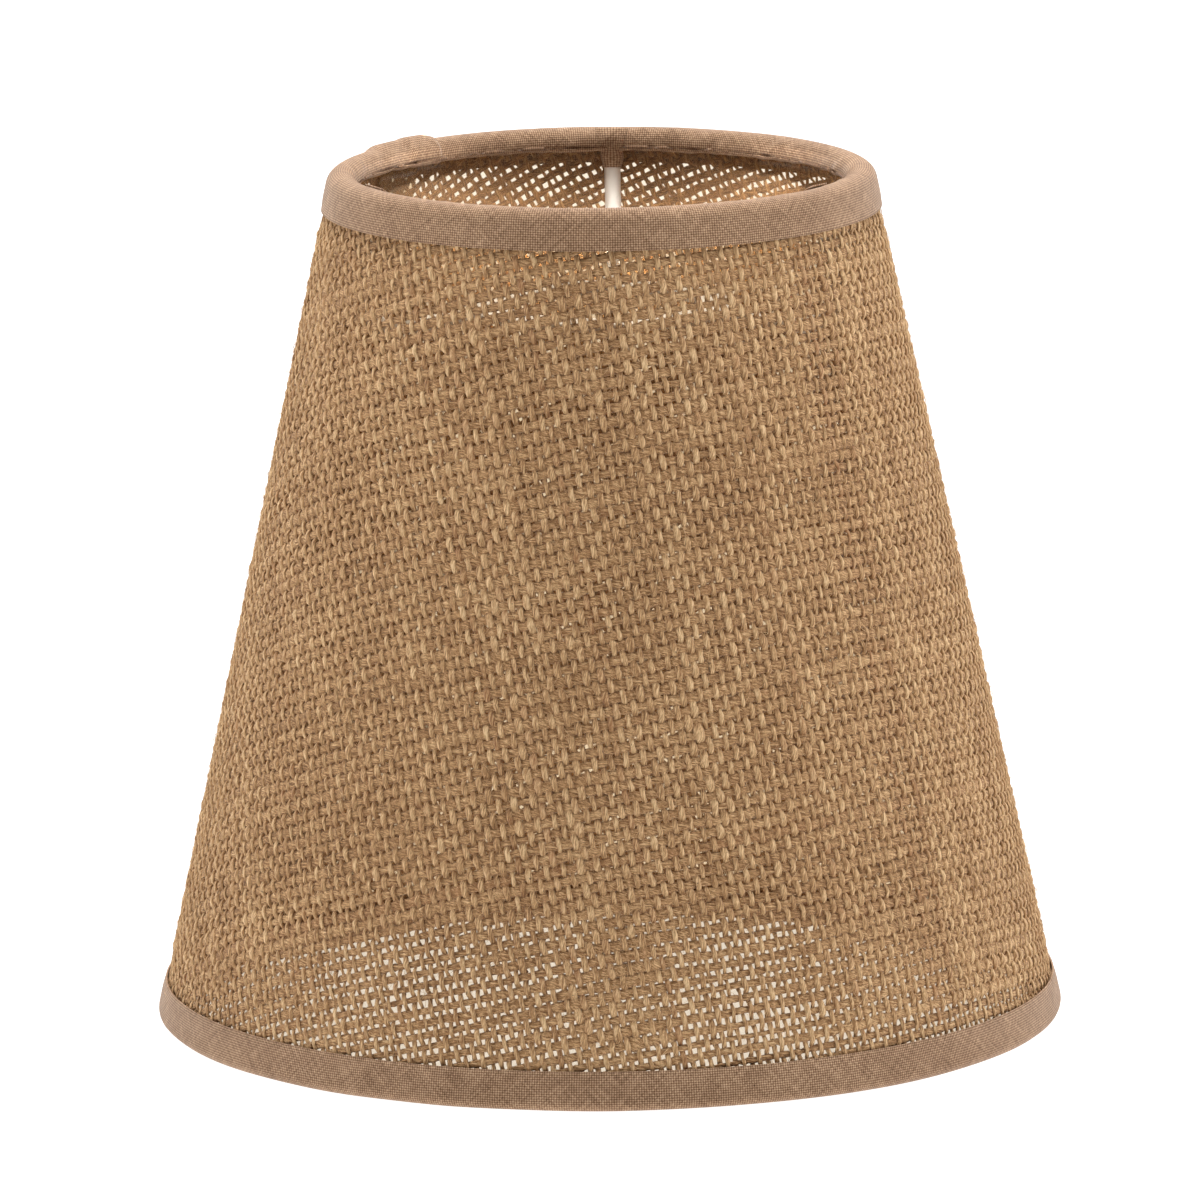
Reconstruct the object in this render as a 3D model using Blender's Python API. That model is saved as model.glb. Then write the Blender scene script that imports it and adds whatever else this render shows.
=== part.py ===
# Cone lamp shade: coarse jute on a clear liner, held by a wire ring at each end,
# with a three-armed wire fitter and bias tape folded over both edges.
# Metres, +Z up. The origin is the middle of the shade, where it stands.
import math

import bmesh
import bpy
from mathutils import Matrix, Vector

# overall size, over the bindings
BOTTOM_DIAMETER = 0.200
TOP_DIAMETER = 0.121
HEIGHT = 0.189

# sheets and wire
TAPE = 0.0004               # cotton bias tape
JUTE = 0.0010               # plain weave, over its crossings
LINER = 0.0003              # stiff clear film
WIRE_DIAMETER = 0.0036      # over the white coating, in the rings and the arms
GAP = 0.0003                # between pieces that touch

# bindings: an outer leg, a turn over the edge and a shorter inner leg
BAND = 0.010
TOP_INNER_LEG = 0.0050
BOTTOM_INNER_LEG = 0.0050
FOOT_CORNER = 0.0022        # outside radius of the bottom turn, beside the flat foot

# seam in the liner, with a clear strip stuck inside it
SEAM_ANGLE = math.radians(140.625)      # at the back left, on an edge between two facets
SEAM_STRIP_WIDTH = 0.013
SEAM_STRIP = 0.0002
SEAM_STRIP_FACETS = 4

# fitter for a lamp holder with a 40 mm skirt
FITTER_HOLE = 0.042
FITTER_DIAMETER = 0.058
FITTER_THICKNESS = 0.002
FITTER_EDGE = 0.0004        # chamfer
FITTER_DROP = 0.030         # top edge of the shade to the fitter ring's upper face
ARM_COUNT = 3
FIRST_ARM = math.radians(87.5)
ARM_BEND = 0.009
ARM_BEND_FACETS = 8

# cloth tucked round each arm under the top binding
WRAP_LENGTH = 0.0035
WRAP_FLARE = 0.0005
WRAP_SWEEP = math.radians(190)
WRAP_FACETS = 12

ROUND_STEPS = 64
TURN_FACETS = 4
WIRE_SIDES = 10
SMOOTH_ANGLE = math.radians(35)

# distances into the wall from the bindings' outer face
JUTE_DEPTH = TAPE + GAP
LINER_DEPTH = JUTE_DEPTH + JUTE + GAP
LINER_BACK = LINER_DEPTH + LINER
WIRE_DEPTH = LINER_BACK + GAP + WIRE_DIAMETER / 2
RIM = WIRE_DEPTH + WIRE_DIAMETER / 2 + GAP + TAPE
TOP_TURN = RIM / 2

# the wall's outer face touches the top turn and the bottom corner
RUN = (BOTTOM_DIAMETER / 2 - FOOT_CORNER) - (TOP_DIAMETER / 2 - TOP_TURN)
RISE = (HEIGHT - TOP_TURN) - FOOT_CORNER
SLOPE = math.atan2(RUN, RISE) + math.asin((FOOT_CORNER - TOP_TURN) / math.hypot(RUN, RISE))
CORNER_HEIGHT = FOOT_CORNER * (1 + math.sin(SLOPE))
CORNER_RADIUS = BOTTOM_DIAMETER / 2 - FOOT_CORNER * (1 - math.cos(SLOPE))


def wall_point(height, depth):
    """Radius and height of a point that lies depth inside the wall's outer face."""
    radius = CORNER_RADIUS - (height - CORNER_HEIGHT) * math.tan(SLOPE)
    return Vector((radius - depth / math.cos(SLOPE), height))


def height_at_top_turn(depth):
    """Height at that depth, straight across the wall from the top turn's middle."""
    return HEIGHT - TOP_TURN - (depth - TOP_TURN) * math.sin(SLOPE)


def rounded(corners, radius, facets):
    """An open line through the corners, with each inner corner turned to an arc."""
    points = [corners[0]]
    for before, corner, after in zip(corners, corners[1:], corners[2:]):
        back = (before - corner).normalized()
        ahead = (after - corner).normalized()
        half_angle = back.angle(ahead) / 2
        middle = corner + (back + ahead).normalized() * radius / math.sin(half_angle)
        start = corner + back * radius / math.tan(half_angle) - middle
        end = corner + ahead * radius / math.tan(half_angle) - middle
        turn = start.angle_signed(end)
        for step in range(facets + 1):
            points.append(middle + Matrix.Rotation(-turn * step / facets, 2) @ start)
    points.append(corners[-1])
    return points


def material(name, colour, roughness, metallic=0.0, alpha=1.0):
    new = bpy.data.materials.new(name)
    new.use_nodes = True
    shader = new.node_tree.nodes["Principled BSDF"]
    shader.inputs["Base Color"].default_value = (*colour, 1.0)
    shader.inputs["Roughness"].default_value = roughness
    shader.inputs["Metallic"].default_value = metallic
    shader.inputs["Alpha"].default_value = alpha
    return new


def place(name, data, finish, parent, angle=0.0):
    data.materials.append(finish)
    piece = bpy.data.objects.new(name, data)
    piece.rotation_euler.z = angle
    piece.parent = parent
    bpy.context.collection.objects.link(piece)
    return piece


def finish_mesh(bm, name):
    bmesh.ops.remove_doubles(bm, verts=bm.verts, dist=1e-7)
    bmesh.ops.recalc_face_normals(bm, faces=bm.faces)
    mesh = bpy.data.meshes.new(name)
    bm.to_mesh(mesh)
    bm.free()
    mesh.shade_smooth()
    mesh.set_sharp_from_angle(angle=SMOOTH_ANGLE)
    return mesh


def turned(name, outline, start=0.0, sweep=math.tau, steps=ROUND_STEPS):
    """A closed outline of (radius, height) points turned round Z."""
    bm = bmesh.new()
    ring = [bm.verts.new((x, 0.0, z)) for x, z in outline]
    edges = [bm.edges.new(pair) for pair in zip(ring, ring[1:] + ring[:1])]
    bmesh.ops.remove_doubles(bm, verts=ring, dist=1e-7)
    bmesh.ops.rotate(bm, verts=bm.verts, matrix=Matrix.Rotation(start, 3, "Z"))
    whole = sweep == math.tau
    bmesh.ops.spin(bm, geom=bm.verts[:] + bm.edges[:], axis=(0, 0, 1), angle=sweep,
                   steps=steps, use_merge=whole)
    if not whole:
        bmesh.ops.holes_fill(bm, edges=[edge for edge in bm.edges if edge.is_boundary])
    return finish_mesh(bm, name)


def circle_outline(middle, radius, sides):
    turns = (math.tau * side / sides for side in range(sides))
    return [middle + radius * Vector((math.cos(turn), math.sin(turn))) for turn in turns]


def binding_outline(edge, band_end, inner_end, turn_radius):
    """Tape folded over the wall's edge, from the end of its band to its inner end."""
    towards_band = math.copysign(1.0, band_end - edge)
    outlines = []
    for inset in (0.0, TAPE):
        fold = edge + towards_band * inset
        corners = [wall_point(band_end, inset), wall_point(fold, inset),
                   wall_point(fold, RIM - inset), wall_point(inner_end, RIM - inset)]
        outlines.append(rounded(corners, turn_radius - inset, TURN_FACETS))
    return outlines[0] + outlines[1][::-1]


def sheet_outline(depth, thickness):
    """Jute or liner, from where the bottom corner ends to where the top turn begins."""
    bottom = CORNER_HEIGHT
    top = height_at_top_turn(depth)
    return [wall_point(bottom, depth), wall_point(top, depth),
            wall_point(top, depth + thickness), wall_point(bottom, depth + thickness)]


def ring_middles():
    """Section centres of the top ring and the bottom ring."""
    top = wall_point(height_at_top_turn(WIRE_DEPTH), WIRE_DEPTH)
    bottom = wall_point(max(TAPE + GAP + WIRE_DIAMETER / 2, FOOT_CORNER), WIRE_DEPTH)
    return top, bottom


def arm_head():
    """Height where an arm starts, against the underside of the top ring."""
    top_ring, _ = ring_middles()
    return top_ring.y - (WIRE_DIAMETER / 2 + GAP) * math.cos(SLOPE)


def arm_curve(name):
    """Wire from under the top ring, down beside the liner, then in to the fitter ring."""
    level = HEIGHT - FITTER_DROP - FITTER_THICKNESS / 2
    corners = [wall_point(arm_head(), WIRE_DEPTH), wall_point(level, WIRE_DEPTH),
               Vector((FITTER_DIAMETER / 2 + GAP, level))]
    points = rounded(corners, ARM_BEND, ARM_BEND_FACETS)
    curve = bpy.data.curves.new(name, "CURVE")
    curve.dimensions = "3D"
    curve.bevel_depth = WIRE_DIAMETER / 2
    curve.bevel_resolution = (WIRE_SIDES - 4) // 2
    curve.use_fill_caps = True
    spline = curve.splines.new("POLY")
    spline.points.add(len(points) - 1)
    for point, (radius, height) in zip(spline.points, points):
        point.co = (radius, 0.0, height, 1.0)
    return curve


def wrap_mesh(name):
    """Half sleeve round an arm, open towards the liner, wider where it meets the binding."""
    inside = WIRE_DIAMETER / 2 + GAP
    outline = [Vector((inside, 0.0)), Vector((inside + TAPE, 0.0)),
               Vector((inside + TAPE + WRAP_FLARE, WRAP_LENGTH)), Vector((inside, WRAP_LENGTH))]
    mesh = turned(name, outline, math.pi - WRAP_SWEEP / 2, WRAP_SWEEP, WRAP_FACETS)
    under_binding = HEIGHT - TOP_INNER_LEG - GAP - (inside + TAPE + WRAP_FLARE) * math.sin(SLOPE)
    head = min(arm_head(), under_binding)
    foot = wall_point(head - WRAP_LENGTH * math.cos(SLOPE), WIRE_DEPTH)
    mesh.transform(Matrix.Translation((foot.x, 0.0, foot.y))
                   @ Matrix.Rotation(-SLOPE, 4, "Y"))
    return mesh


def strip_mesh(name):
    """Clear strip of even width along the seam, between the two rings, inside the liner."""
    top_ring, bottom_ring = ring_middles()
    reach = WIRE_DIAMETER / 2 + GAP
    ends = (bottom_ring.y + reach, top_ring.y - reach)
    bm = bmesh.new()
    loops = []
    for height in ends:
        outer = wall_point(height, LINER_BACK + GAP).x
        inner = wall_point(height, LINER_BACK + GAP + SEAM_STRIP).x
        angles = [SEAM_ANGLE + SEAM_STRIP_WIDTH / outer * (step / SEAM_STRIP_FACETS - 0.5)
                  for step in range(SEAM_STRIP_FACETS + 1)]
        loop = [(outer, angle) for angle in angles] + [(inner, angle) for angle in angles[::-1]]
        verts = [bm.verts.new((r * math.cos(a), r * math.sin(a), height)) for r, a in loop]
        loops += [bm.edges.new(pair) for pair in zip(verts, verts[1:] + verts[:1])]
    bmesh.ops.bridge_loops(bm, edges=loops)
    bmesh.ops.holes_fill(bm, edges=[edge for edge in bm.edges if edge.is_boundary])
    return finish_mesh(bm, name)


def fitter_outline():
    low = HEIGHT - FITTER_DROP - FITTER_THICKNESS
    high = HEIGHT - FITTER_DROP
    inner, outer = FITTER_HOLE / 2, FITTER_DIAMETER / 2
    edge = FITTER_EDGE
    return [Vector(point) for point in (
        (inner, low + edge), (inner + edge, low), (outer - edge, low), (outer, low + edge),
        (outer, high - edge), (outer - edge, high), (inner + edge, high), (inner, high - edge))]


for leftover in list(bpy.data.objects):
    bpy.data.objects.remove(leftover, do_unlink=True)

jute = material("jute", (0.44, 0.28, 0.15), 0.85)
film = material("clear_film", (0.90, 0.88, 0.82), 0.25, alpha=0.3)
tape = material("bias_tape", (0.32, 0.21, 0.14), 0.9)
coated = material("white_coating", (0.82, 0.80, 0.76), 0.35)

shade = bpy.data.objects.new("shade", None)
bpy.context.collection.objects.link(shade)

top_middle, bottom_middle = ring_middles()
for name, middle in (("top_ring", top_middle), ("bottom_ring", bottom_middle)):
    section = circle_outline(middle, WIRE_DIAMETER / 2, WIRE_SIDES)
    place(name, turned(name, section), coated, shade)

place("fitter_ring", turned("fitter_ring", fitter_outline()), coated, shade)
for number in range(ARM_COUNT):
    azimuth = FIRST_ARM + math.tau * number / ARM_COUNT
    arm_name = f"spider_arm_{number + 1}"
    wrap_name = f"arm_wrap_{number + 1}"
    place(arm_name, arm_curve(arm_name), coated, shade, azimuth)
    place(wrap_name, wrap_mesh(wrap_name), tape, shade, azimuth)

seam_half = GAP / 2 / wall_point(HEIGHT, LINER_DEPTH).x
liner = turned("clear_liner", sheet_outline(LINER_DEPTH, LINER), SEAM_ANGLE + seam_half,
               math.tau - 2 * seam_half)
place("clear_liner", liner, film, shade)
place("seam_strip", strip_mesh("seam_strip"), film, shade)
place("jute_cover", turned("jute_cover", sheet_outline(JUTE_DEPTH, JUTE)), jute, shade)

top_tape = binding_outline(HEIGHT, HEIGHT - BAND, HEIGHT - TOP_INNER_LEG, TOP_TURN)
bottom_tape = binding_outline(0.0, BAND, BOTTOM_INNER_LEG, FOOT_CORNER)
place("top_binding", turned("top_binding", top_tape), tape, shade)
place("bottom_binding", turned("bottom_binding", bottom_tape), tape, shade)
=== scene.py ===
import math
import bmesh
import bpy
import numpy as np
from mathutils import Matrix, Vector, noise


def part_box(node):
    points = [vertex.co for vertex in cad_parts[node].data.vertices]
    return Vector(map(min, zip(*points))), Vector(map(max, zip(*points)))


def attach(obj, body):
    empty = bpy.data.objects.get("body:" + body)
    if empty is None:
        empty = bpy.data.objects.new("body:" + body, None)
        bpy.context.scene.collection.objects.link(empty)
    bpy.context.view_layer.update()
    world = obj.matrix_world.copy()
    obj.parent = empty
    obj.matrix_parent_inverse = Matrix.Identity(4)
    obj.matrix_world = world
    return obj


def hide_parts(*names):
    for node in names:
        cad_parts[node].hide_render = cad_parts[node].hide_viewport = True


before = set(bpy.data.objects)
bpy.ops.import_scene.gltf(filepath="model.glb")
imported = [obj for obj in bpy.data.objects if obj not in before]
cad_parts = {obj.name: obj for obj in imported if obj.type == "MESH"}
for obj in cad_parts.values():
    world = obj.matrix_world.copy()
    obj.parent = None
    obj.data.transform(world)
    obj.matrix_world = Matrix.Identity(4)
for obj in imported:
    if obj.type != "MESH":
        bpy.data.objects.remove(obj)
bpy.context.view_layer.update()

# The wall is worked out from the two bindings: a cone whose outer face runs over both.
shade = dict(
    tape=0.0004,            # bias tape
    footCorner=0.0022,      # outside radius of the bottom turn
    band=0.010,             # height of each binding outside
    rim=0.0069,             # from the bindings' outer face to the back of their inner legs
    topInnerLeg=0.0051, topBand=0.0086, bottomBand=0.0088,
    curl=0.0013,            # radius of the curl under the top wire
    bottomInnerLeg=0.0050,
    front=math.radians(-90),
)
lowBand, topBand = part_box("bottom_binding"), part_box("top_binding")
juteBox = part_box("jute_cover")
shade["height"] = topBand[1][2]
shade["cornerRadius"] = lowBand[1][0]
shade["bandRadius"] = topBand[1][0]
for guess in range(4):
    lean = shade.get("lean", 0.2)
    shade["cornerHeight"] = shade["footCorner"] * (1 + math.sin(lean))
    fall = shade["height"] - shade["band"] - shade["cornerHeight"]
    shade["lean"] = math.atan2(shade["cornerRadius"] - shade["bandRadius"], fall)
sinLean, cosLean, tanLean = (f(shade["lean"]) for f in (math.sin, math.cos, math.tan))
topTurn = shade["rim"] / 2


def wallPoint(height, depth):
    # radius and height of a point that lies depth inside the wall's outer face
    radius = shade["cornerRadius"] - (height - shade["cornerHeight"]) * tanLean
    return radius - depth / cosLean, height


def smooth(value, low, high):
    part = np.clip((value - low) / (high - low), 0, 1)
    return part * part * (3 - 2 * part)


# a socket that takes part in sums, so that shader maths reads as an expression
class Wire:
    def __init__(self, finish, socket):
        self.finish, self.socket = finish, socket

    def math(self, operation, *values):
        return self.finish.node("ShaderNodeMath", {"operation": operation}, dict(enumerate(values)))

    def __add__(self, other):
        return self.math("ADD", self, other)

    def __sub__(self, other):
        return self.math("SUBTRACT", self, other)

    def __rsub__(self, other):
        return self.math("SUBTRACT", other, self)

    def __mul__(self, other):
        return self.math("MULTIPLY", self, other)

    __radd__, __rmul__ = __add__, __mul__

    def sine(self):
        return self.math("SINE", self)

    def within(self, low, high):
        return self.finish.node("ShaderNodeMapRange", {"interpolation_type": "SMOOTHSTEP"},
                                {"Value": self, "From Min": low, "From Max": high})


class Finish:
    def __init__(self, name, roughness=0.8, **shaderValues):
        self.material = bpy.data.materials.new(name)
        self.material.use_nodes = True
        self.nodes = self.material.node_tree.nodes
        self.links = self.material.node_tree.links
        self.shader = self.nodes["Principled BSDF"]
        self.shader.inputs["Roughness"].default_value = roughness
        for socket, value in shaderValues.items():
            self.shader.inputs[socket.replace("_", " ")].default_value = value

    def feed(self, socket, value):
        if isinstance(value, Wire):
            self.links.new(value.socket, socket)
        else:
            socket.default_value = value

    def node(self, kind, settings=None, sockets=None, output=0):
        new = self.nodes.new(kind)
        for name, value in (settings or {}).items():
            if name == "stops":
                ramp = new.color_ramp
                for _ in value[2:]:
                    ramp.elements.new(0.5)
                for element, (place, colour) in zip(ramp.elements, value):
                    element.position, element.color = place, (*colour, 1)
            else:
                setattr(new, name, value)
        for name, value in (sockets or {}).items():
            self.feed(new.inputs[name], value)
        return Wire(self, new.outputs[output])

    def noise(self, place, scale, detail=2.0, roughness=0.5):
        return self.node("ShaderNodeTexNoise", None,
                         {"Vector": place, "Scale": scale, "Detail": detail, "Roughness": roughness})

    def mix(self, share, first, second):
        return self.node("ShaderNodeMix", {"data_type": "RGBA", "clamp_factor": True},
                         {0: share, 6: first, 7: second}, output=2)

    def bump(self, height, distance, strength=1.0):
        return self.node("ShaderNodeBump", None,
                         {"Height": height, "Distance": distance, "Strength": strength})

    def split(self, vector, axis):
        return self.node("ShaderNodeSeparateXYZ", None, {0: vector}, output=axis)


def linear(red, green, blue):
    # a screen colour from 0 to 255, as a shader wants it
    return tuple(((c / 255 + 0.055) / 1.055) ** 2.4 for c in (red, green, blue)) + (1,)


# the jute is one flat sector of plain weave, rolled into the cone
jute = dict(
    warpPitch=0.00183, weftPitch=0.00264,
    warpAngle=math.radians(101.3), weftAngle=math.radians(10.05),
    warpSize=(0.00121, 0.00070), weftSize=(0.00187, 0.00062),
    warpCrimp=0.00042, weftCrimp=0.00012,
    panels=4,
    depth=0.0012,                       # middle of the weave, inside the bindings' outer face
    seamStart=math.radians(134.6), seamEnd=math.radians(148.7),
    lapLift=0.0009,
    wander=0.00035, spacing=0.00012,
    backFull=0.92, frontFuller=0.21,
    thinPatches=[(-0.45, 0.25, 0.040), (0.33, 0.18, 0.046)],    # middle, half width, top
    warpThinner=0.26, weftThinner=0.40,
    warpStretch=1, weftStretch=1.02,
    warpTone=(0.9, 1.0), weftTone=(0.6, -1.3),                  # spread and middle
    slubShare=0.35,
    sides=6,
    seed=11,
)
rng = np.random.default_rng(jute["seed"])
apexHeight = shade["cornerHeight"] + (shade["cornerRadius"] - jute["depth"] / cosLean) / tanLean
outerSlant = (apexHeight - juteBox[0][2]) / cosLean
innerSlant = (apexHeight - juteBox[1][2]) / cosLean
firstTurn = (jute["seamStart"] - 2 * math.pi - shade["front"]) * sinLean
lastTurn = (jute["seamEnd"] - shade["front"]) * sinLean


def rollUp(points):
    # flat x, y and height over the sheet become a place on the cone
    turn = np.arctan2(points[:, 0], -points[:, 1])
    slant = np.hypot(points[:, 0], points[:, 1])
    azimuth = shade["front"] + turn / sinLean
    lift = jute["lapLift"] * smooth(azimuth, jute["seamStart"] - 0.06, jute["seamStart"])
    # the cloth is pressed flatter under the tapes, and its lap too
    height = apexHeight - slant * cosLean
    pressed = np.maximum(smooth(height, 0.173, 0.179), 1 - smooth(height, 0.0105, 0.0165))
    out = points[:, 2] * (1 - 0.25 * pressed) + lift * (1 - 0.65 * pressed) - 0.00012 * pressed
    radius = slant * sinLean + out * cosLean
    return np.stack([radius * np.cos(azimuth), radius * np.sin(azimuth),
                     apexHeight - slant * cosLean + out * sinLean], axis=1)


warpWay = np.array([math.cos(jute["warpAngle"]), math.sin(jute["warpAngle"])])
weftWay = np.array([math.cos(jute["weftAngle"]), math.sin(jute["weftAngle"])])
skew = math.sin(jute["warpAngle"] - jute["weftAngle"])
reach = 400
warpDrift = rng.normal(0, jute["spacing"], 2 * reach + 1)
weftDrift = rng.normal(0, jute["spacing"], 2 * reach + 1)
ripples = [(rng.uniform(40, 150) * np.array([math.cos(way), math.sin(way)]),
            rng.uniform(0, 6.28), rng.uniform(0, 6.28)) for way in rng.uniform(0, math.pi, 6)]


def meet(warp, weft):
    # flat place of any warp and weft number, whole or between
    numbers = np.arange(-reach, reach + 1)
    across = warp * jute["warpPitch"] / skew + np.interp(warp, numbers, warpDrift)
    along = weft * jute["weftPitch"] / skew + np.interp(weft, numbers, weftDrift)
    place = across[:, None] * weftWay + along[:, None] * warpWay
    for wave, phase, angle in ripples:
        swing = jute["wander"] * np.sin(place @ wave + phase)
        place = place + swing[:, None] * np.array([math.cos(angle), math.sin(angle)])
    return place


def inside(place):
    turn = np.arctan2(place[:, 0], -place[:, 1])
    slant = np.hypot(place[:, 0], place[:, 1])
    return (turn > firstTurn) & (turn < lastTurn) & (slant > innerSlant) & (slant < outerSlant)


def unevenness(count, step, knots):
    # smooth random line with a value every so many steps
    places = np.arange(count) * step / knots
    return np.interp(places, np.arange(int(places[-1]) + 3), rng.normal(0, 1, int(places[-1]) + 3))


def closeness(flat, thinner):
    # how full the yarns are: fuller in front, thinner at the back and in two patches low in front
    side = np.arctan2(flat[:, 0], -flat[:, 1]) / sinLean
    side = np.abs((side + math.pi) % (2 * math.pi) - math.pi) * np.where(side < 0, -1, 1)
    height = apexHeight - np.hypot(flat[:, 0], flat[:, 1]) * cosLean
    full = jute["backFull"] + jute["frontFuller"] * (1 - smooth(np.abs(side), 1.0, 1.9))
    for middle, wide, top in jute["thinPatches"]:
        below = 1 - smooth(height, top - 0.018, top + 0.008)
        full -= thinner * below * np.exp(-np.abs((side - middle) / wide) ** 2.6)
    return full


def yarns(system):
    # every stretch of yarn of one system: its line, its thickness and what its material needs
    perCrossing = 3 if system == "warp" else 2
    crimp = jute[system + "Crimp"]
    steps = np.arange(-reach * perCrossing, reach * perCrossing + 1) / perCrossing
    pitch = jute["weftPitch" if system == "warp" else "warpPitch"]
    for number in range(-reach, reach + 1):
        fixed = np.full(len(steps), float(number))
        place = meet(fixed, steps) if system == "warp" else meet(steps, fixed)
        here = np.flatnonzero(inside(place))
        if not len(here):
            continue
        for run in np.split(here, np.flatnonzero(np.diff(here) > 1) + 1):
            if len(run) < 4:
                continue
            wave = np.cos(math.pi * (steps[run] + number)) * (1 if system == "warp" else -1)
            swell = wave * (1.25 - 0.25 * wave ** 2)
            count, step = len(run), pitch / perCrossing
            slub = 0.11 * unevenness(count, step, 0.012) + 0.08 * unevenness(count, step, 0.004)
            thick = np.clip(1 + 0.10 * rng.normal() + slub + 0.10 * rng.normal(size=count), 0.62, 1.5)
            thick = thick * closeness(place[run], jute[system + "Thinner"]) * jute[system + "Stretch"]
            above = apexHeight - np.hypot(*place[run].T) * cosLean
            if rng.random() < jute["slubShare"]:
                spot = rng.integers(0, count)
                away = np.abs(np.arange(count) - spot) * step / rng.uniform(0.0015, 0.0035)
                thick = thick * (1 + rng.uniform(0.25, 0.6) * np.exp(-away ** 2))
            underTape = (above < 0.014) | (above > 0.175)
            thick = np.where(underTape, np.minimum(thick, 1), thick)
            sway = 0.00008 * unevenness(count, step, 0.003) + 0.00006 * rng.normal(size=count)
            side = warpWay if system == "weft" else weftWay
            height = crimp * swell * (1 + 0.12 * unevenness(count, step, 0.003))
            flat = place[run] + sway[:, None] * side
            line = np.column_stack([flat, height])
            along = np.concatenate([[0], np.cumsum(np.linalg.norm(np.diff(line, axis=0), axis=1))])
            spread, usual = jute[system + "Tone"]
            looks = dict(tone=float(rng.normal()) * spread + usual, warm=float(rng.normal()),
                         shift=float(rng.uniform(0, 50)), twist=rng.uniform(650, 1000))
            turn = np.arctan2(flat[:, 0], -flat[:, 1])
            panel = np.clip((turn - firstTurn) / (lastTurn - firstTurn) * jute["panels"], 0,
                            jute["panels"] - 1).astype(int)
            cuts = [0, *(np.flatnonzero(np.diff(panel)) + 1), len(run)]
            for first, last in zip(cuts, cuts[1:]):
                part = slice(first, last + 1)       # neighbours share the point where they meet
                if len(thick[part]) > 1:
                    yield dict(line=line[part], along=along[part], thick=thick[part],
                               swell=swell[part], panel=panel[first], **looks)


def crossSection(name, size, sides=jute["sides"]):
    curve = bpy.data.curves.new(name, "CURVE")
    curve.dimensions = "2D"
    ring = curve.splines.new("POLY")
    ring.points.add(sides - 1)
    for corner, point in enumerate(ring.points):
        angle = 2 * math.pi * corner / sides
        point.co = (math.cos(angle) * size[0] / 2, math.sin(angle) * size[1] / 2, 0, 1)
    ring.use_cyclic_u = True
    return bpy.data.objects.new(name, curve)


def spinYarns(name, group, section, finish, sides=jute["sides"]):
    curve = bpy.data.curves.new(name, "CURVE")
    curve.dimensions, curve.twist_mode = "3D", "Z_UP"
    curve.bevel_mode, curve.bevel_object, curve.use_fill_caps = "OBJECT", section, True
    for yarn in group:
        spline = curve.splines.new("POLY")
        spline.points.add(len(yarn["line"]) - 1)
        spline.points.foreach_set("co", np.column_stack([yarn["line"], np.ones(len(yarn["line"]))]).ravel())
        spline.points.foreach_set("radius", yarn["thick"])
    draft = bpy.data.objects.new(name + "_draft", curve)
    bpy.context.collection.objects.link(draft)
    mesh = bpy.data.meshes.new_from_object(draft.evaluated_get(bpy.context.evaluated_depsgraph_get()))
    bpy.data.objects.remove(draft)
    bpy.data.curves.remove(curve)
    flat = np.zeros(len(mesh.vertices) * 3)
    mesh.vertices.foreach_get("co", flat)
    flat = flat.reshape(-1, 3)
    # the caps' corners come first, last yarn first, then the rings in order
    fields = []
    for yarn in group:
        line = yarn["line"]
        along = yarn["along"]
        ahead = np.gradient(line[:, :2], axis=0)
        ahead /= np.linalg.norm(ahead, axis=1)[:, None]
        fields.append(np.column_stack([line, along, ahead, yarn["swell"],
                                       np.full((len(line), 4), [yarn["tone"], yarn["warm"],
                                                                yarn["shift"], yarn["twist"]])]))
    caps = np.concatenate([f[[-1, 0]] for f in reversed(fields)])
    field = np.repeat(np.concatenate([caps, *fields]), sides, axis=0)
    offset = flat - field[:, :3]
    across = offset[:, 0] * -field[:, 5] + offset[:, 1] * field[:, 4]
    turn = field[:, 3] * field[:, 10]
    fibre = np.column_stack([across * np.cos(turn) + offset[:, 2] * np.sin(turn),
                             offset[:, 2] * np.cos(turn) - across * np.sin(turn),
                             field[:, 3] * 0.12 + field[:, 9]])
    if np.abs(offset).max() > 0.002:
        print("WARNING yarn order", np.abs(offset).max(0))
    mesh.vertices.foreach_set("co", rollUp(flat).ravel())
    layer = mesh.attributes.new("fibre", "FLOAT_VECTOR", "POINT")
    layer.data.foreach_set("vector", fibre.ravel())
    # the yarn attribute carries tone, rise and warmth; the shader paints shade from the rise
    layer = mesh.attributes.new("yarn", "FLOAT_VECTOR", "POINT")
    layer.data.foreach_set("vector", field[:, [7, 6, 8]].ravel())
    layYarnMap(mesh, group, sides)
    mesh.materials.append(finish.material)
    draft = bpy.data.objects.new(name + "_draft", mesh)
    bpy.context.collection.objects.link(draft)
    weld = draft.modifiers.new("close", "WELD")
    weld.merge_threshold = 1e-7
    closed = bpy.data.meshes.new_from_object(draft.evaluated_get(bpy.context.evaluated_depsgraph_get()))
    closed.name = name
    bpy.data.objects.remove(draft)
    bpy.data.meshes.remove(mesh)
    piece = bpy.data.objects.new(name, closed)
    bpy.context.collection.objects.link(piece)
    return piece


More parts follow.
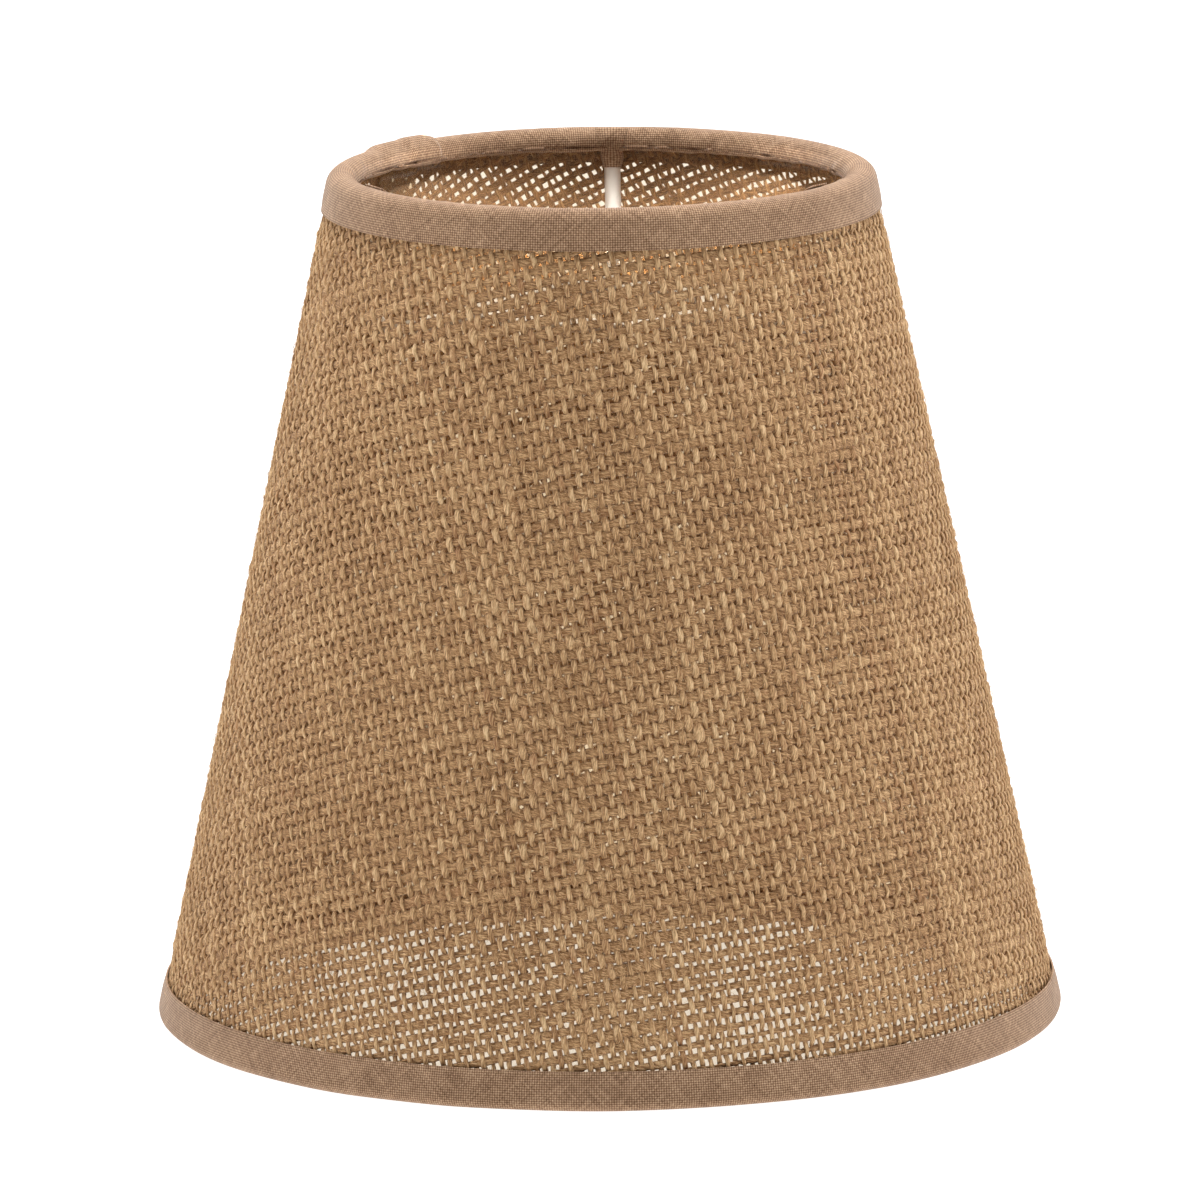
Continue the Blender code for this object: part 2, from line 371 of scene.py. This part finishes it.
def layYarnMap(mesh, group, sides):
    # each yarn is a strip of the map, its length to the right and its sides one above another
    corners = np.zeros(len(mesh.loops), int)
    mesh.loops.foreach_get("vertex_index", corners)
    starts = np.zeros(len(mesh.polygons), int)
    mesh.polygons.foreach_get("loop_start", starts)
    sizes = np.diff(np.append(starts, len(corners)))
    capCorners = 2 * sides * len(group)
    rings = [len(yarn["line"]) for yarn in group]
    owner = np.concatenate([np.repeat(np.arange(len(group))[::-1], 2 * sides),
                            np.repeat(np.arange(len(group)), np.array(rings) * sides)])
    longest = max(yarn["along"][-1] - yarn["along"][0] for yarn in group)
    ends = [(yarn["along"][-1] - yarn["along"][0], 0) for yarn in reversed(group)]
    lengths = [yarn["along"] - yarn["along"][0] for yarn in group]
    along = np.repeat(np.concatenate([np.ravel(ends), *lengths]), sides) / longest
    side = np.tile(np.arange(sides), len(along) // sides).astype(float)
    isCap = corners[starts] < capCorners
    onSide = side[corners]
    lastSide = np.repeat(np.maximum.reduceat(onSide, starts) == sides - 1, sizes)
    wraps = lastSide & (onSide == 0) & ~np.repeat(isCap, sizes)
    onSide = np.where(wraps, sides, onSide)
    inCap = np.repeat(isCap, sizes)
    u = 0.01 + 0.98 * along[corners] + np.where(inCap, 0.0005 * np.sin(2 * math.pi * onSide / sides), 0)
    v = (owner[corners] + 0.06 + 0.88 * onSide / sides) / len(group)
    mesh.uv_layers[0].name = "OFBake"
    mesh.uv_layers[0].data.foreach_set("uv", np.column_stack([u, v]).ravel())
    flatFaces = mesh.attributes.get("sharp_face")
    if not flatFaces:
        flatFaces = mesh.attributes.new("sharp_face", "BOOLEAN", "FACE")
    flatFaces.data.foreach_set("value", isCap)


def juteFinish():
    finish = Finish("jute", 0.85, Specular_IOR_Level=0.2, Sheen_Weight=0.1, Sheen_Roughness=0.6)
    fibre = finish.node("ShaderNodeAttribute", {"attribute_name": "fibre"}, output=1)
    yarn = finish.node("ShaderNodeAttribute", {"attribute_name": "yarn"}, output=1)
    place = finish.node("ShaderNodeTexCoord", output=3)
    tone, swell, warm = (finish.split(yarn, axis) for axis in range(3))
    streak = finish.noise(fibre, 3200.0, 4.0, 0.7)
    patch = finish.noise(place, 38.0, 3.0)
    fleck = finish.noise(place, 420.0, 2.0)
    # painted shade: swell, the yarn's rise over and under its neighbours, paints raised floats lighter and
    # the dips between yarns darker
    light = 0.51 + tone * 0.055 + (streak - 0.5) * 2.6 + (patch - 0.5) * 0.25 + swell * 0.13
    colour = finish.node("ShaderNodeValToRGB", {"stops": [
        (0.0, linear(100, 68, 41)[:3]), (0.35, linear(156, 115, 75)[:3]),
        (0.62, linear(199, 156, 109)[:3]), (1.0, linear(246, 211, 162)[:3])]}, {0: light})
    colour = finish.mix((warm * 0.25 + (fleck - 0.5) * 1.2).within(0.1, 1.2) * 0.4, colour,
                        linear(164, 102, 66))
    colour = finish.mix(finish.noise(place, 700.0, 1.0).within(0.74, 0.80) * 0.7, colour,
                        linear(76, 50, 32))
    finish.feed(finish.shader.inputs["Base Color"], colour)
    finish.feed(finish.shader.inputs["Normal"], finish.bump(streak, 0.00026, 1.0))
    return finish


print("jute")
juteMaterial = juteFinish()
for system in ("warp", "weft"):
    section = crossSection(system + "_section", jute[system + "Size"])
    everyYarn = list(yarns(system))
    pitch = jute[system + "Pitch"]
    for panel in range(jute["panels"]):
        group = [yarn for yarn in everyYarn if yarn["panel"] == panel]
        piece = spinYarns("jute_%s_%d" % (system, panel + 1), group, section, juteMaterial)
        flatArea = pitch * sum(np.linalg.norm(yarn["line"][-1, :2] - yarn["line"][0, :2]) for yarn in group)
        middle = firstTurn + (lastTurn - firstTurn) * (panel + 0.5) / jute["panels"]
        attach(piece, "root")
        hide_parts("jute_cover")
        print("  ", piece.name, len(group), "yarns,", len(piece.data.polygons), "faces")


# loose fibres that stand off the yarns
fuzz = dict(count=7500, pieces=3, thickness=0.000065, sides=3, points=5, length=0.0027, seed=5)


def looseFibres(draw):
    group = []
    while len(group) < fuzz["count"]:
        turn = draw.uniform(firstTurn, lastTurn)
        slant = math.sqrt(draw.uniform(innerSlant ** 2, outerSlant ** 2))
        start = np.array([slant * math.sin(turn), -slant * math.cos(turn)])
        long = fuzz["length"] * math.exp(draw.normal(0, 0.55))
        heading, bend = draw.uniform(0, 2 * math.pi), draw.normal(0, 1.7)
        face = 1 if draw.random() < 0.86 else -1
        low = draw.uniform(0.0002, 0.0006)
        rise = abs(draw.normal(0, 0.00045)) * draw.choice([0.4, 1.0, 1.8], p=[0.5, 0.35, 0.15])
        share = np.linspace(0, 1, fuzz["points"])
        angle = heading + bend * share
        step = long / (fuzz["points"] - 1)
        flat = start + np.cumsum(np.column_stack([np.cos(angle), np.sin(angle)]) * step, axis=0)
        tip = draw.random() < 0.5
        height = low + rise * (share if tip else np.sin(math.pi * share))
        height = np.where(face > 0, height, -np.minimum(height, 0.0007))
        if not inside(flat).all():
            continue
        thick = (1 - 0.75 * np.abs(2 * share - 1) ** 3) * draw.uniform(0.7, 1.7)
        # loose fibres count as fully risen, so the painted shade makes them lighter
        group.append(dict(line=np.column_stack([flat, height]), along=step * np.arange(fuzz["points"]),
                          thick=thick, swell=share * 0 + 1, tone=float(draw.normal(1.8, 1.8)),
                          warm=float(draw.normal()), shift=float(draw.uniform(0, 50)), twist=0.0))
    return group


print("fuzz")
fibreSection = crossSection("fibre_section", (fuzz["thickness"], fuzz["thickness"]), fuzz["sides"])
draw = np.random.default_rng(fuzz["seed"])
for number in range(fuzz["pieces"]):
    piece = spinYarns("jute_fuzz_%d" % (number + 1), looseFibres(draw), fibreSection, juteMaterial,
                      fuzz["sides"])
    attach(piece, "root")


tapes = dict(
    steps=384,                      # faces round a tape
    overlap=math.radians(8), lift=0.00030,      # the lapped end lies on the other
    topStart=math.radians(139.4), bottomStart=math.radians(122.0),
    crossings=0.00052,              # from one thread crossing to the next
    topPucker=0.00045, bottomPucker=0.0001,
    bulge=0.0008,                   # over the jute's lap
    tuck=0.00020,                   # the edge drawn in against the jute
    waver=0.00012,
)


def foldLine(corners, radii, grain=0.0006):
    # a line of points every so often, with round corners
    points = [Vector(corners[0])]
    for before, corner, after, radius in zip(corners, corners[1:], corners[2:], radii):
        back = (Vector(before) - Vector(corner)).normalized()
        ahead = (Vector(after) - Vector(corner)).normalized()
        halfAngle = back.angle(ahead) / 2
        middle = Vector(corner) + (back + ahead).normalized() * radius / math.sin(halfAngle)
        start = Vector(corner) + back * radius / math.tan(halfAngle) - middle
        end = Vector(corner) + ahead * radius / math.tan(halfAngle) - middle
        turn = start.angle_signed(end)
        count = max(3, round(abs(turn) * radius / grain))
        points += [middle + Matrix.Rotation(-turn * i / count, 2) @ start for i in range(count + 1)]
    points.append(Vector(corners[-1]))
    fine = [points[0]]
    for point in points[1:]:
        count = max(1, round((point - fine[-1]).length / grain))
        first = fine[-1]
        fine += [first.lerp(point, i / count) for i in range(1, count + 1)]
    return fine


def topFold():
    height = shade["height"]
    lower = Vector(wallPoint(height - shade["topBand"], 0))
    outer = Vector(wallPoint(height - topTurn + topTurn * sinLean, 0))
    centre = outer - topTurn * Vector((cosLean, sinLean))
    points = [lower.lerp(outer, i / 14) for i in range(14)]
    for i in range(25):
        angle = shade["lean"] + math.pi * i / 24
        points.append(centre + topTurn * Vector((math.cos(angle), math.sin(angle))))
    # short inner leg, then a curl in under the wire
    down, back = Vector((sinLean, -cosLean)), Vector((cosLean, sinLean))
    leg = points[-1].y - (height - shade["topInnerLeg"]) - shade["curl"] * 0.8
    points += [points[-1] + down * leg * i / 2 for i in (1, 2)]
    hub = points[-1] + back * shade["curl"]
    for i in range(1, 9):
        angle = math.radians(80) * i / 8
        points.append(hub + shade["curl"] * (down * math.sin(angle) - back * math.cos(angle)))
    return points


def bottomFold():
    # outside leg, flat foot, inside leg, and an edge tucked in over the wire
    rim = shade["rim"]
    outerTop, outerFoot = wallPoint(shade["bottomBand"], 0), wallPoint(0, 0)
    innerFoot, innerTop = wallPoint(0, rim), wallPoint(shade["bottomInnerLeg"], rim)
    tucked = wallPoint(shade["bottomInnerLeg"] + 0.0006, 0.0029)
    return foldLine([outerTop, outerFoot, innerFoot, innerTop, tucked],
                    [shade["footCorner"], shade["footCorner"], 0.0012])


def keepOrder(bm):
    # a spin gives its edges and faces in any order, so they are put in that of their corners
    bm.verts.index_update()
    count = len(bm.verts)

    def place(part):
        numbers = [vert.index for vert in part.verts]
        return min(numbers) * count + max(numbers)

    bm.edges.sort(key=place)
    bm.faces.sort(key=place)
    bm.edges.ensure_lookup_table()
    bm.faces.ensure_lookup_table()


def tapeBand(name, fold, start, pucker, hollows, legEnd):
    bm = bmesh.new()
    across = bm.verts.layers.float.new("across")
    verts = []
    length = 0.0
    for index, point in enumerate(fold):
        if index:
            length += (point - fold[index - 1]).length
        vert = bm.verts.new((point.x * math.cos(start), point.x * math.sin(start), point.y))
        vert[across] = length
        verts.append(vert)
    edges = [bm.edges.new(pair) for pair in zip(verts, verts[1:])]
    sweep = 2 * math.pi + tapes["overlap"]
    bmesh.ops.spin(bm, geom=verts + edges, cent=(0, 0, 0), axis=(0, 0, 1), dvec=(0, 0, 0),
                   angle=-sweep, steps=tapes["steps"], use_merge=False)
    keepOrder(bm)
    around = bm.verts.layers.float.new("around")
    bm.verts.ensure_lookup_table()
    middle = len(fold) // 2
    for vert in bm.verts:
        ring = vert.index // len(fold)
        turned = sweep * ring / tapes["steps"]
        vert[around] = turned * fold[middle].x
    bm.normal_update()
    firstFace = bm.faces[0]             # at the top of the outside leg
    if firstFace.normal.dot(firstFace.calc_center_median() * Vector((1, 1, 0))) < 0:
        bmesh.ops.reverse_faces(bm, faces=bm.faces)
        bm.normal_update()
    for vert in bm.verts:
        turned = vert[around] / fold[middle].x
        over = tapes["lift"] * smooth(turned, sweep - tapes["overlap"] * 1.25, sweep - tapes["overlap"])
        fromLap = start - turned - (jute["seamStart"] + jute["seamEnd"]) / 2
        fromLap = abs((fromLap + math.pi) % (2 * math.pi) - math.pi)
        onWall = 1 - smooth(vert[across], *legEnd)
        bulge = tapes["bulge"] * (1 - smooth(fromLap, 0.13, 0.20)) * onWall
        tuck = tapes["tuck"] * (1 - smooth(vert[across], 0, 0.0030))
        slant = vert[around] * 260 + vert[across] * 300
        wrinkle = pucker * noise.noise(Vector((slant, vert[across] * 90, 0)))
        slow = tapes["waver"] * noise.noise(Vector((vert[around] * 60, vert[across] * 60, 7)))
        wrinkle *= smooth(vert[across], 0.009, 0.014) * (1 if wrinkle > 0 else hollows)
        vert.co += vert.normal * (over + bulge + wrinkle + slow - tuck)
    mesh = bpy.data.meshes.new(name)
    bm.to_mesh(mesh)
    bm.free()
    return mesh


def finishTape(name, mesh, finish):
    uv = mesh.uv_layers.new(name="tapeWeave")
    around = mesh.attributes["around"].data
    across = mesh.attributes["across"].data
    for loop in mesh.loops:
        uv.data[loop.index].uv = (around[loop.vertex_index].value, across[loop.vertex_index].value)
    mesh.shade_smooth()
    mesh.materials.append(finish.material)
    piece = bpy.data.objects.new(name, mesh)
    bpy.context.collection.objects.link(piece)
    wall = piece.modifiers.new("thickness", "SOLIDIFY")
    wall.thickness, wall.offset = shade["tape"], -1
    return piece


def tapeFinish():
    finish = Finish("bias_tape", 0.8, Specular_IOR_Level=0.2, Sheen_Weight=0.15, Sheen_Roughness=0.5)
    uv = finish.node("ShaderNodeUVMap", {"uv_map": "tapeWeave"})
    around, across = finish.split(uv, 0), finish.split(uv, 1)
    place = finish.node("ShaderNodeTexCoord", output=3)
    # threads run at 45 degrees, so their crossings stand in rows along and across the tape
    turns = 2 * math.pi / tapes["crossings"]
    wobble = finish.noise(place, 260.0, 2.0) * 3.0
    second = finish.noise(place, 330.0, 2.0) * 3.0
    weave = ((around * turns + wobble).sine() + (across * turns + second).sine()) * 0.25 + 0.5
    slopeOne, slopeTwo = around + across, around - across
    oneWay = finish.node("ShaderNodeCombineXYZ", None, {0: slopeOne * 1500, 1: slopeTwo * 120})
    otherWay = finish.node("ShaderNodeCombineXYZ", None, {0: slopeOne * 120, 1: slopeTwo * 1500, 2: 5.0})
    thread = (finish.noise(oneWay, 1.0, 1.0) + finish.noise(otherWay, 1.0, 1.0)) * 0.5
    patch = finish.noise(place, 60.0, 3.0)
    # painted shade: the weave term paints each thread crossing lighter and the hollows between darker, as
    # light falls on the relief
    light = 0.5 + (weave - 0.5) * 0.75 + (thread - 0.5) * 1.05 + (patch - 0.5) * 0.25
    colour = finish.node("ShaderNodeValToRGB", {"stops": [
        (0.0, linear(84, 58, 40)[:3]), (0.5, linear(152, 117, 88)[:3]),
        (1.0, linear(222, 188, 154)[:3])]}, {0: light})
    finish.feed(finish.shader.inputs["Base Color"], colour)
    finish.feed(finish.shader.inputs["Normal"], finish.bump(weave * 0.6 + thread * 0.7, 0.00014, 0.8))
    return finish


print("bindings")
tapeMaterial = tapeFinish()
# wrinkles of the top roll go in only a little, or the wire would show through
topMesh = tapeBand("top_tape", topFold(), tapes["topStart"], tapes["topPucker"], 0.3, (0.010, 0.013))
topTape = finishTape("top_tape", topMesh, tapeMaterial)
bottomMesh = tapeBand("bottom_tape", bottomFold(), tapes["bottomStart"], tapes["bottomPucker"], 1,
                      (0.009, 0.011))
bottomTape = finishTape("bottom_tape", bottomMesh, tapeMaterial)
for piece, node, fold in ((topTape, "top_binding", topFold()), (bottomTape, "bottom_binding", bottomFold())):
    width = sum((b - a).length for a, b in zip(fold, fold[1:]))
    radius = sum(p.x for p in fold) / len(fold)
    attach(piece, "root")
    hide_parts(node)


def filmFinish():
    finish = Finish("clear_film", 0.16, Specular_IOR_Level=0.5)
    finish.shader.inputs["Base Color"].default_value = linear(190, 160, 130)
    tint = finish.node("ShaderNodeBsdfTransparent", None, {"Color": (0.96, 0.91, 0.82, 1)})
    edge = finish.node("ShaderNodeLayerWeight", None, {"Blend": 0.3}, output=1)
    place = finish.node("ShaderNodeTexCoord", output=3)
    haze = finish.noise(place, 30.0, 3.0)
    surface = Wire(finish, finish.shader.outputs[0])
    cloudy = 0.10 + edge * 0.18 + haze * 0.08
    film = finish.node("ShaderNodeMixShader", None, {0: cloudy, 1: tint, 2: surface})
    finish.links.new(film.socket, finish.nodes["Material Output"].inputs["Surface"])
    return finish


def coatFinish():
    finish = Finish("white_coating", 0.42, Specular_IOR_Level=0.5)
    place = finish.node("ShaderNodeTexCoord", output=3)
    peel = finish.noise(place, 1400.0, 2.0)
    tone = finish.noise(place, 90.0, 2.0)
    finish.feed(finish.shader.inputs["Base Color"],
                finish.mix(tone, linear(226, 216, 203), linear(238, 231, 221)))
    finish.feed(finish.shader.inputs["Normal"], finish.bump(peel, 0.00008, 0.5))
    return finish


print("film and wire")
wire = dict(radius=0.0018, depth=0.0044, tight=0.0008, bend=0.009, sides=16,
            firstArm=math.radians(87.5), arms=3)
fitter = dict(hole=0.021, edge=0.0005)
filmSheet = dict(seam=math.radians(140.625), gap=0.003, depth=0.0020, thickness=0.0003,
                 stripDepth=0.0026, stripWidth=0.013, stripThickness=0.0002)
# half widths of a wrap at its lower lip, over the arm and on the roll
wrap = dict(lip=0.0020, waist=0.0026, flare=0.0036, thickness=0.00035, rows=22, around=36,
            clothWidth=0.0085, clothLength=0.0110, onArm=0.62)
filmMaterial, coatMaterial = filmFinish(), coatFinish()


def addPiece(name, bm, finish, node=None, slot=None):
    mesh = bpy.data.meshes.new(name)
    keepOrder(bm)
    bm.to_mesh(mesh)
    bm.free()
    mesh.shade_smooth()
    mesh.materials.append(finish.material)
    piece = bpy.data.objects.new(name, mesh)
    bpy.context.collection.objects.link(piece)
    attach(piece, "root")
    if node:
        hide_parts(node)
    slot or finish.material.name
    return piece


def filmLiner():
    low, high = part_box("clear_liner")[0][2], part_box("clear_liner")[1][2]
    start = filmSheet["seam"] + filmSheet["gap"]
    bm = bmesh.new()
    line = []
    for i in range(25):
        radius, height = wallPoint(low + (high - low) * i / 24, filmSheet["depth"])
        line.append(bm.verts.new((radius * math.cos(start), radius * math.sin(start), height)))
    edges = [bm.edges.new(pair) for pair in zip(line, line[1:])]
    bmesh.ops.spin(bm, geom=line + edges, cent=(0, 0, 0), axis=(0, 0, 1), dvec=(0, 0, 0),
                   angle=2 * math.pi - 2 * filmSheet["gap"], steps=240, use_merge=False)
    bmesh.ops.recalc_face_normals(bm, faces=bm.faces)
    bm.normal_update()
    if bm.faces[:][0].normal.dot(bm.faces[:][0].calc_center_median() * Vector((1, 1, 0))) < 0:
        bmesh.ops.reverse_faces(bm, faces=bm.faces)
    for vert in bm.verts:
        vert.co += vert.normal * 0.00012 * noise.noise(vert.co * 26)
    piece = addPiece("film_liner", bm, filmMaterial, "clear_liner", "clear_film")
    wall = piece.modifiers.new("thickness", "SOLIDIFY")
    wall.thickness, wall.offset = filmSheet["thickness"], -1
    return piece


def filmStrip():
    low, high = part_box("seam_strip")[0][2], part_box("seam_strip")[1][2]
    bm = bmesh.new()
    bmesh.ops.create_grid(bm, x_segments=12, y_segments=40, size=0.5)
    for vert in bm.verts:
        radius, height = wallPoint(low + (high - low) * (vert.co.y + 0.5), filmSheet["stripDepth"])
        angle = filmSheet["seam"] + vert.co.x * filmSheet["stripWidth"] / radius
        vert.co = (radius * math.cos(angle), radius * math.sin(angle), height)
    bm.normal_update()
    if bm.faces[:][0].normal.dot(bm.faces[:][0].calc_center_median() * Vector((1, 1, 0))) < 0:
        bmesh.ops.reverse_faces(bm, faces=bm.faces)
    piece = addPiece("film_seam_strip", bm, filmMaterial, "seam_strip", "clear_film")
    wall = piece.modifiers.new("thickness", "SOLIDIFY")
    wall.thickness, wall.offset = filmSheet["stripThickness"], -1
    return piece


def wireTube(name, points, finish, node):
    curve = bpy.data.curves.new(name, "CURVE")
    curve.dimensions, curve.bevel_depth = "3D", wire["radius"]
    curve.bevel_resolution, curve.use_fill_caps = (wire["sides"] - 4) // 2, True
    spline = curve.splines.new("POLY")
    spline.points.add(len(points) - 1)
    for point, co in zip(spline.points, points):
        point.co = (*co, 1)
    draft = bpy.data.objects.new(name, curve)
    bpy.context.collection.objects.link(draft)
    bm = bmesh.new()
    ready = draft.evaluated_get(bpy.context.evaluated_depsgraph_get())
    bm.from_mesh(bpy.data.meshes.new_from_object(ready))
    bpy.data.objects.remove(draft)
    bmesh.ops.remove_doubles(bm, verts=bm.verts, dist=1e-6)
    return addPiece(name, bm, finish, node, "white_coating")


def wireRing():
    # drawn up into the roll, as a tight binding holds it
    low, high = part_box("top_ring")
    bm = bmesh.new()
    bmesh.ops.create_circle(bm, segments=16, radius=wire["radius"],
                            matrix=Matrix.Translation((high[0] - wire["radius"] + 0.0002, 0, 0))
                            @ Matrix.Rotation(math.pi / 2, 4, "X"))
    bmesh.ops.spin(bm, geom=bm.verts[:] + bm.edges[:], cent=(0, 0, 0), axis=(0, 0, 1), dvec=(0, 0, 0),
                   angle=2 * math.pi, steps=160, use_merge=True)
    bmesh.ops.translate(bm, verts=bm.verts, vec=(0, 0, (low[2] + high[2]) / 2 + wire["tight"]))
    bmesh.ops.recalc_face_normals(bm, faces=bm.faces)
    return addPiece("wire_ring_top", bm, coatMaterial, "top_ring", "white_coating")


def armPath(azimuth):
    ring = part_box("fitter_ring")
    level = (ring[0][2] + ring[1][2]) / 2
    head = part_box("spider_arm_1")[1][2] - wire["radius"] * sinLean + wire["tight"]
    corners = [wallPoint(head, wire["depth"]), wallPoint(level, wire["depth"]), (ring[1][0] + 0.0002, level)]
    line = foldLine(corners, [wire["bend"]], 0.0012)
    return [(p.x * math.cos(azimuth), p.x * math.sin(azimuth), p.y) for p in line]


def fitterRing():
    low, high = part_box("fitter_ring")
    inner, outer, edge = fitter["hole"], high[0], fitter["edge"]
    bm = bmesh.new()
    bmesh.ops.create_circle(bm, segments=128, radius=inner)
    edges = bm.edges[:]
    made = bmesh.ops.extrude_edge_only(bm, edges=edges)["geom"]
    outerVerts = [g for g in made if isinstance(g, bmesh.types.BMVert)]
    bmesh.ops.scale(bm, verts=outerVerts, vec=(outer / inner, outer / inner, 1))
    made = bmesh.ops.extrude_face_region(bm, geom=bm.faces[:])["geom"]
    bmesh.ops.translate(bm, verts=[g for g in made if isinstance(g, bmesh.types.BMVert)],
                        vec=(0, 0, high[2] - low[2]))
    bmesh.ops.translate(bm, verts=bm.verts, vec=(0, 0, low[2]))
    bmesh.ops.recalc_face_normals(bm, faces=bm.faces)
    rims = [e for e in bm.edges if e.calc_face_angle(0) > 1]
    bmesh.ops.bevel(bm, geom=rims, offset=edge, segments=4, affect="EDGES", profile=0.5, material=-1,
                    clamp_overlap=True)
    bmesh.ops.recalc_face_normals(bm, faces=bm.faces)
    return addPiece("fitter", bm, coatMaterial, "fitter_ring", "white_coating")


def armWrap(name, azimuth, node):
    # a scrap of tape round the arm, opening out over the roll
    low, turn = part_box("arm_wrap_1")[0][2] + wire["tight"], topTurn + 0.00035
    middle = shade["height"] - topTurn
    onWire = wire["depth"] + wire["radius"] + 0.0004
    bm = bmesh.new()
    bmesh.ops.create_grid(bm, x_segments=wrap["around"], y_segments=wrap["rows"], size=0.5)
    uv = bm.loops.layers.uv.new("tapeWeave")
    for face in bm.faces:
        for loop in face.loops:
            loop[uv].uv = ((loop.vert.co.x + 0.5) * wrap["clothWidth"],
                           (loop.vert.co.y + 0.5) * wrap["clothLength"])
    for vert in bm.verts:
        share, side = vert.co.y + 0.5, vert.co.x * 2
        if share < wrap["onArm"]:
            height = low + (middle - low) * share / wrap["onArm"]
            face = onWire + (topTurn + turn - onWire) * smooth(share, 0.1, 0.6)
        else:
            rise = (share - wrap["onArm"]) / (1 - wrap["onArm"]) * math.radians(72)
            height, face = middle + turn * math.sin(rise), topTurn + turn * math.cos(rise)
        wide = wrap["lip"] + (wrap["waist"] - wrap["lip"]) * smooth(share, 0.0, 0.3) \
            + (wrap["flare"] - wrap["waist"]) * smooth(share, 0.35, 1.0)
        flat = smooth(share, 0.25, wrap["onArm"])
        bent = math.radians(150) * side
        tube = (wide * math.sin(bent), wire["depth"] + (face - wire["depth"]) * math.cos(bent))
        patch = (wide * math.sin(side * math.pi / 2), face - 0.0006 * (1 - math.cos(side * math.pi / 2)))
        lateral, depth = (tube[i] * (1 - flat) + patch[i] * flat for i in (0, 1))
        crease = 0.00026 * noise.noise(Vector((side * 1.6 + share * 3.0, share * 1.8, azimuth))) \
            + 0.00012 * noise.noise(Vector((side * 5, share * 9, azimuth)))
        height += 0.0002 * math.sin(side * 4 + azimuth) * (1 - share)
        radius, height = wallPoint(height, depth + crease)
        uneven = 1 + 0.05 * noise.noise(Vector((share * 4, azimuth, side)))
        vert.co = (radius, lateral * uneven, height)
    bmesh.ops.rotate(bm, verts=bm.verts, cent=(0, 0, 0), matrix=Matrix.Rotation(azimuth, 3, "Z"))
    bm.normal_update()
    facing = sum((face.normal * face.calc_area() for face in bm.faces), Vector())
    if facing.dot(Vector((math.cos(azimuth), math.sin(azimuth), 0))) > 0:
        bmesh.ops.reverse_faces(bm, faces=bm.faces)
    piece = addPiece(name, bm, tapeMaterial, node, "bias_tape")
    wall = piece.modifiers.new("thickness", "SOLIDIFY")
    wall.thickness, wall.offset = wrap["thickness"], -1
    return piece


filmLiner()
filmStrip()
fitterRing()
for number in range(wire["arms"]):
    azimuth = wire["firstArm"] + number * 2 * math.pi / wire["arms"]
    suffix = "_%d" % (number + 1)
    wireTube("wire_arm" + suffix, armPath(azimuth), coatMaterial, "spider_arm" + suffix)
    armWrap("cloth_wrap" + suffix, azimuth, "arm_wrap" + suffix)
wireRing()
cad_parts["bottom_ring"].data.materials.clear()
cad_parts["bottom_ring"].data.materials.append(coatMaterial.material)

camera = dict(distance=2.643, elevation=0.19224, aimRight=-0.00127, aimUp=-0.0022,
              roll=0.01068, lens=359.6)


def placeCamera():
    data = bpy.data.cameras.new("camera")
    data.lens, data.sensor_width = camera["lens"], 36
    eye = Vector((0, -math.cos(camera["elevation"]), math.sin(camera["elevation"]))) * camera["distance"]
    eye.z += shade["height"] / 2
    target = Vector((camera["aimRight"], 0, shade["height"] / 2 + camera["aimUp"]))
    turn = (target - eye).to_track_quat("-Z", "Y").to_matrix() @ Matrix.Rotation(-camera["roll"], 3, "Z")
    view = bpy.data.objects.new("camera", data)
    view.matrix_world = Matrix.Translation(eye) @ turn.to_4x4()
    bpy.context.collection.objects.link(view)
    bpy.context.scene.camera = view


def softLight(name, place, aim, size, power):
    data = bpy.data.lights.new(name, "AREA")
    data.shape, data.size, data.size_y = "RECTANGLE", *size
    data.energy = power
    lamp = bpy.data.objects.new(name, data)
    lamp.location = place
    lamp.rotation_euler = (Vector(aim) - Vector(place)).to_track_quat("-Z", "Y").to_euler()
    bpy.context.collection.objects.link(lamp)
    return lamp


def layFloor():
    bm = bmesh.new()
    bmesh.ops.create_grid(bm, x_segments=1, y_segments=1, size=12)
    mesh = bpy.data.meshes.new("floor")
    bm.to_mesh(mesh)
    bm.free()
    finish = Finish("floor", 0.9)
    finish.shader.inputs["Base Color"].default_value = (0.3, 0.3, 0.3, 1)
    finish.shader.inputs["Emission Color"].default_value = (1, 1, 1, 1)
    finish.shader.inputs["Emission Strength"].default_value = 1.02
    mesh.materials.append(finish.material)
    floor = bpy.data.objects.new("floor", mesh)
    floor.location.z = -0.0005
    bpy.context.collection.objects.link(floor)


print("studio")
placeCamera()
layFloor()
middle = (0, 0, 0.1)
softLight("left_light", (-1.7, 0.1, 0.75), middle, (1.2, 1.2), 12)
softLight("right_light", (1.7, 0.1, 0.75), middle, (1.2, 1.2), 15.5)
softLight("top_light", (0, 0.04, 1.0), middle, (0.8, 0.75), 11.5)
beam = softLight("inner_light", (0, -0.9, 0.75), (0, 0.057, 0.161), (0.09, 0.01), 0.0185)
beam.data.spread = math.radians(1.5)
softLight("backdrop_light", (0, 2.2, 1.6), (0, 1.9, 0), (3.0, 1.2), 60)
world = bpy.data.worlds.new("world")
world.use_nodes = True
world.node_tree.nodes["Background"].inputs[0].default_value = (1, 1, 1, 1)
world.node_tree.nodes["Background"].inputs[1].default_value = 0.05
bpy.context.scene.world = world
bpy.context.scene.view_settings.view_transform = "Standard"
